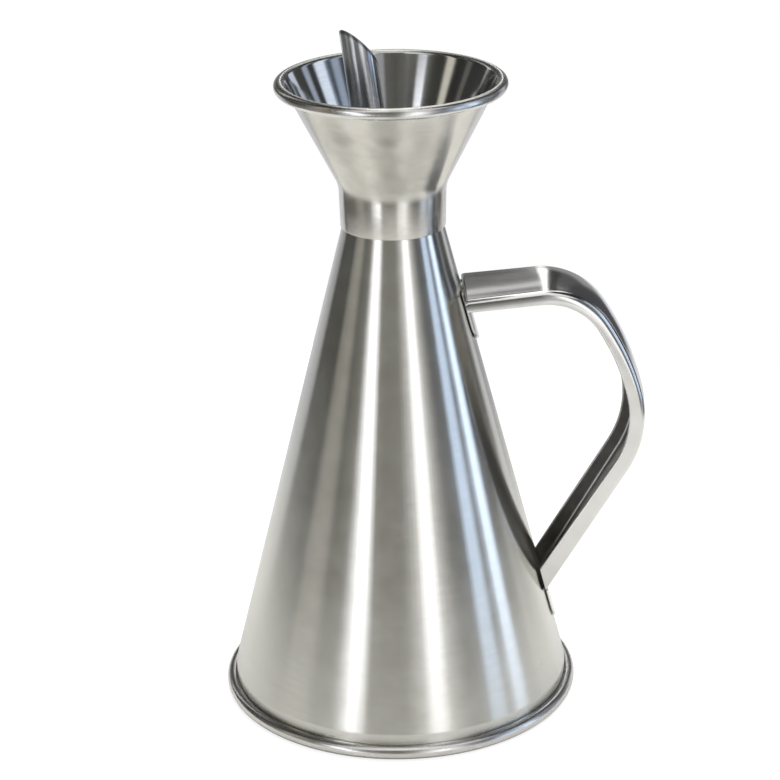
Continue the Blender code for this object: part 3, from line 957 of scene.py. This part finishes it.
# Soft windows of the room, the later over the earlier. Each has its azimuth from the camera's
# side, its shift per degree of elevation, half width, soft edge, colour, lowest and highest
# elevation and the fade above. Angles are in degrees.
WINDOWS = (
    # Tall ones, for the bands on the cone
    (-30.3, -0.60, 4.2, 3.0, (3.3, 3.35, 3.6), -13.0, 25.0, 22.0),
    (23.2, 0.115, 2.0, 22.0, (0.95, 0.95, 0.97), -34.0, 26.0, 30.0),
    (23.2, 0.115, 2.5, 7.0, (2.3, 2.32, 2.45), -13.0, 26.0, 24.0),
    (18.5, 0.0, 5.0, 9.0, (1.55, 1.55, 1.60), -40.0, -18.0, 5.0),
    (66.3, 0.10, 4.6, 2.6, (1.00, 1.24, 1.66), -13.0, 16.0, 14.0),
    (86.2, -0.09, 3.8, 2.6, (1.66, 2.0, 2.62), -13.0, 18.0, 14.0),
    (-77.0, 0.05, 8.0, 7.0, (0.34, 0.33, 0.305), -34.0, 14.0, 10.0),
    # Low ones, for the collar, as the fourth above
    (-37.0, 0.0, 6.0, 8.0, (1.55, 1.59, 1.66), -25.0, -18.0, 5.0),
    (-107.0, 0.0, 14.0, 8.0, (0.26, 0.26, 0.25), -25.0, -13.0, 4.0),
    (122.0, 0.0, 8.0, 5.0, (0.17, 0.17, 0.18), -40.0, -14.0, 4.0),
    (73.0, 0.0, 11.0, 8.0, (0.48, 0.52, 0.60), -40.0, -18.0, 5.0),
    (98.0, 0.0, 6.0, 5.0, (0.12, 0.125, 0.14), -40.0, -18.0, 5.0),
    # High ones, for the inside of the cup
    (35.0, 0.0, 2.5, 2.5, (0.80, 0.80, 0.82), 30.0, 46.0, 6.0),
    (70.0, 0.0, 3.5, 3.0, (0.44, 0.52, 0.66), 22.0, 44.0, 6.0),
    (91.0, 0.0, 5.0, 4.0, (1.05, 1.16, 1.36), 20.0, 40.0, 6.0),
    (112.0, 0.0, 2.5, 3.0, (0.48, 0.54, 0.66), 8.0, 40.0, 8.0),
    (-79.0, 0.0, 3.5, 3.0, (0.80, 0.76, 0.66), 20.0, 40.0, 8.0),
    (-137.0, 0.0, 2.5, 3.0, (1.15, 1.17, 1.22), 14.0, 40.0, 8.0),
    (-104.0, 0.0, 2.0, 3.0, (0.16, 0.155, 0.14), 14.0, 40.0, 8.0),
    (12.0, 0.0, 3.0, 3.0, (0.42, 0.43, 0.45), 28.0, 48.0, 6.0),
    # Narrow ones far round and low down, for the edges
    (131.0, 0.0, 1.0, 1.4, (0.9, 0.89, 0.87), -60.0, -4.0, 4.0),
    (108.0, 0.0, 1.5, 3.0, (0.30, 0.31, 0.33), -60.0, -2.0, 10.0),
    # Those behind the can, mostly for the handle
    (181.0, 0.0, 20.0, 6.0, (0.36, 0.36, 0.355), -6.0, 5.0, 4.0),
    (181.5, 0.0, 6.0, 2.5, (0.20, 0.20, 0.20), 13.0, 25.0, 2.5),
    (181.5, 0.0, 6.0, 2.5, (0.95, 0.95, 0.96), 29.0, 31.0, 2.5),
    (181.5, 0.0, 6.0, 2.5, (0.06, 0.06, 0.06), 34.5, 42.0, 3.0),
    (159.5, 0.0, 7.0, 2.5, (0.12, 0.12, 0.125), 7.0, 27.0, 5.0),
    (150.0, 0.0, 8.0, 3.0, (0.08, 0.08, 0.09), -12.0, 27.0, 5.0),
    (158.0, 0.0, 5.0, 4.0, (1.6, 1.6, 1.62), 34.0, 54.0, 6.0),
    (175.6, 0.0, 1.2, 1.6, (2.1, 2.1, 2.1), 9.0, 44.0, 6.0),
    (138.0, 0.0, 4.0, 3.0, (0.80, 0.86, 1.0), -4.0, 14.0, 4.0),
    # The ceiling
    (0.0, 0.0, 14.0, 8.0, (1.15, 1.15, 1.15), 60.0, 90.0, 8.0),
    (-42.0, 0.0, 17.0, 6.0, (1.25, 1.25, 1.28), 50.0, 80.0, 6.0),
    (46.0, 0.0, 24.0, 8.0, (1.15, 1.15, 1.18), 50.0, 80.0, 6.0),
    (180.0, 0.0, 13.0, 8.0, (2.2, 2.2, 2.2), 47.0, 90.0, 6.0),
    (0.0, 0.0, 180.0, 1.0, (1.35, 1.35, 1.35), 80.0, 90.0, 6.0),
)
WINDOW_FOOT_FADE = 4.0
WINDOW_TOP_SHIFT = 20.0      # elevation above which the windows shift no further
WINDOW_LOW_SHIFT = -0.2      # below the horizon they shift this much, the other way
# The room's own light round the horizon, as azimuth and colour
ROOM = (
    (-180.0, (0.06, 0.06, 0.06)), (-112.0, (0.055, 0.055, 0.051)), (-92.0, (0.055, 0.055, 0.05)),
    (-66.0, (0.10, 0.098, 0.089)), (-52.0, (0.21, 0.205, 0.186)), (-12.0, (0.26, 0.253, 0.227)),
    (12.0, (0.27, 0.264, 0.243)), (42.0, (0.17, 0.172, 0.175)), (54.0, (0.13, 0.14, 0.155)),
    (77.0, (0.16, 0.19, 0.245)), (97.0, (0.05, 0.054, 0.062)), (118.0, (0.09, 0.09, 0.09)),
    (180.0, (0.06, 0.06, 0.06)),
)
ROOM_NOISE = (0.13, 0.035)   # per degree of azimuth and of elevation
ROOM_UNEVEN = (0.72, 1.28)
ROOM_DIMMING = (8.0, 34.0, 1.0, 0.5)
BACKDROP = (0.82, 0.83, 0.87, 1.0)
BACKDROP_SIDE = (121.0, 133.0)
BACKDROP_TOP = (-10.0, -4.0)
BACKDROP_LOW = (-22.0, -14.0)
BACKDROP_SET_BACK = 8.0      # its ends are this much further back low down


def room_colour(graph, azimuth, elevation):
    """The room's light, uneven as furnished rooms are and dimmer towards the ceiling."""
    ramp = graph.nodes.new("ShaderNodeValToRGB")
    graph.put(ramp.inputs[0], graph.span(azimuth, -180.0, 180.0))
    stops = ramp.color_ramp.elements
    while len(stops) < len(ROOM):
        stops.new(0.5)
    # Stops sort themselves as they move, so the colours wait until all are in place
    for stop, (angle, _) in zip(stops, ROOM):
        stop.position = (angle + 180.0) / 360.0
    for stop, (_, colour) in zip(stops, ROOM):
        stop.color = (*colour, 1.0)
    furnishing = graph.noise(graph.vector(graph.math("MULTIPLY", azimuth, ROOM_NOISE[0]),
                                          graph.math("MULTIPLY", elevation, ROOM_NOISE[1]), 0.0),
                             detail=4.0, roughness=0.6)
    uneven = graph.swing(furnishing, *ROOM_UNEVEN)
    dimmer = graph.span(elevation, *ROOM_DIMMING)
    return graph.scaled(ramp.outputs[0], graph.math("MULTIPLY", uneven, dimmer))


def make_world():
    """White for the camera; in the steel, a dim room with soft windows and a pale backdrop."""
    world = bpy.data.worlds.new("studio")
    bpy.context.scene.world = world
    graph = Graph(world)
    shader = graph.nodes["Background"]
    x, y, z = graph.split(graph.new("ShaderNodeTexCoord").outputs["Generated"])
    azimuth = graph.math("MULTIPLY", graph.math("ARCTAN2", x, graph.math("MULTIPLY", y, -1.0)),
                         180.0 / math.pi)
    elevation = graph.math("MULTIPLY", graph.math("ARCSINE", z), 180.0 / math.pi)
    colour = room_colour(graph, azimuth, elevation)
    shift_by = graph.math("MAXIMUM", graph.math("MINIMUM", elevation, WINDOW_TOP_SHIFT),
                          graph.math("MULTIPLY", elevation, WINDOW_LOW_SHIFT))
    # The backdrop stands behind the can and below the horizon
    turned = graph.math("SUBTRACT", graph.math("ABSOLUTE", azimuth),
                        graph.span(elevation, *BACKDROP_LOW, BACKDROP_SET_BACK, 0.0))
    behind = graph.math("MULTIPLY", graph.span(turned, *BACKDROP_SIDE, smooth=True),
                        graph.span(elevation, *BACKDROP_TOP, 1.0, 0.0, smooth=True))
    colour = graph.mix(behind, colour, BACKDROP)
    for centre, shift, half, soft, tint, low, high, fade in WINDOWS:
        middle = graph.math("MULTIPLY_ADD", shift_by, shift, centre)
        beside = graph.math("WRAP", graph.math("SUBTRACT", azimuth, middle), 180.0, -180.0)
        beside = graph.math("ABSOLUTE", beside)
        across = graph.span(beside, half, half + soft, 1.0, 0.0, smooth=True)
        above = graph.span(elevation, low - WINDOW_FOOT_FADE, low, smooth=True)
        below = graph.span(elevation, high, high + fade, 1.0, 0.0, smooth=True)
        mask = graph.math("MULTIPLY", across, graph.math("MULTIPLY", above, below))
        colour = graph.mix(mask, colour, (*tint, 1.0))
    colour = graph.mix(graph.camera_ray(), colour, WHITE)
    graph.put(shader.inputs["Color"], colour)
    shader.inputs["Strength"].default_value = 1.0


def make_lamp(name, place, target, size, power):
    """Soft lamp that is seen neither by the camera nor in the steel."""
    lamp = bpy.data.lights.new(name, "AREA")
    lamp.shape = "RECTANGLE"
    lamp.size, lamp.size_y = size
    lamp.energy = power
    obj = bpy.data.objects.new(name, lamp)
    bpy.context.scene.collection.objects.link(obj)
    obj.location = place
    obj.rotation_euler = (Vector(target) - Vector(place)).to_track_quat("-Z", "Y").to_euler()
    obj.visible_camera = False
    obj.visible_glossy = False


# Camera, found from the outlines of the rims and the foot: its distance is from the can's axis,
# its angles are in radians and the sensor's width is in millimetres
CAMERA_DISTANCE = 0.8797
CAMERA_HEIGHT = 0.4761
CAMERA_PITCH = 0.3861
CAMERA_YAW = 0.0025
CAMERA_ROLL = 0.0181
CAMERA_TURN = math.radians(-1.0)
FOCAL_PIXELS = 2572.1
IMAGE_PIXELS = 780.0
SENSOR_WIDTH = 36.0


def make_camera():
    """The photograph's view."""
    pitch, yaw, roll = CAMERA_PITCH, CAMERA_YAW, CAMERA_ROLL
    right = Vector((math.cos(yaw), math.sin(yaw), 0.0))
    up = Vector((-math.sin(yaw) * math.sin(pitch), math.cos(yaw) * math.sin(pitch),
                 math.cos(pitch)))
    forward = right.cross(up) * -1.0
    level_right = right * math.cos(roll) - up * math.sin(roll)
    level_up = right * math.sin(roll) + up * math.cos(roll)
    pose = Matrix((level_right, level_up, -forward)).transposed().to_4x4()
    pose.translation = Vector((0.0, -CAMERA_DISTANCE, CAMERA_HEIGHT))
    camera = bpy.data.objects.new("camera", bpy.data.cameras.new("camera"))
    camera.data.lens = FOCAL_PIXELS / IMAGE_PIXELS * SENSOR_WIDTH
    camera.data.sensor_width = SENSOR_WIDTH
    camera.data.clip_start = 0.01
    camera.data.clip_end = 20.0
    around_can = Matrix.Translation((axis_x, 0.0, 0.0)) @ Matrix.Rotation(CAMERA_TURN, 4, "Z")
    camera.matrix_world = around_can @ pose
    bpy.context.scene.collection.objects.link(camera)
    bpy.context.scene.camera = camera


make_floor()
make_world()
make_lamp("overhead_softbox", place=(axis_x + 0.1, 0.15, 1.1), target=(axis_x, 0.0, 0.0),
          size=(0.9, 0.7), power=14.0)
make_camera()
bpy.context.scene.view_settings.view_transform = "Standard"
